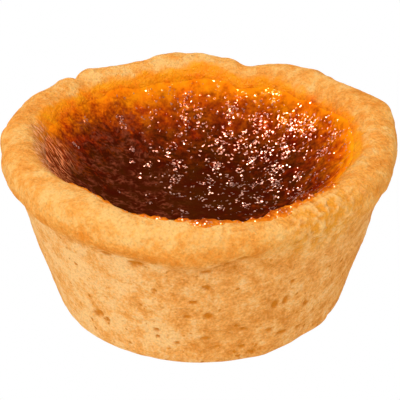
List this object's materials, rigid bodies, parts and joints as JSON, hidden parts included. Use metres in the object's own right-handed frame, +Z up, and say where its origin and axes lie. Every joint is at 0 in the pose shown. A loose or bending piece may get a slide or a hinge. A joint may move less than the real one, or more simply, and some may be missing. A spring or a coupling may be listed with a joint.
{
  "type": "butter tart",
  "caption": "Small open tart: a tapering cup of baked pastry with a thick, uneven hand-pressed rim, filled with dark caramel that sank to a deep glossy bowl.",
  "frame": {"origin": "centre of the flat underside that the tart rests on", "axes": "+Z up, out of the open top; -Y is the front, where the rim dips in over the filling at the left"},
  "size_m": [0.0758, 0.0757, 0.0357],
  "materials": {
    "crust": "matte baked shortcrust pastry, tan with darker specks",
    "filling": "glossy, finely wrinkled set caramel, dark red-brown"
  },
  "bodies": {
    "root": {"pastry_shell": "crust", "filling": "filling"}
  },
  "joints": []
}
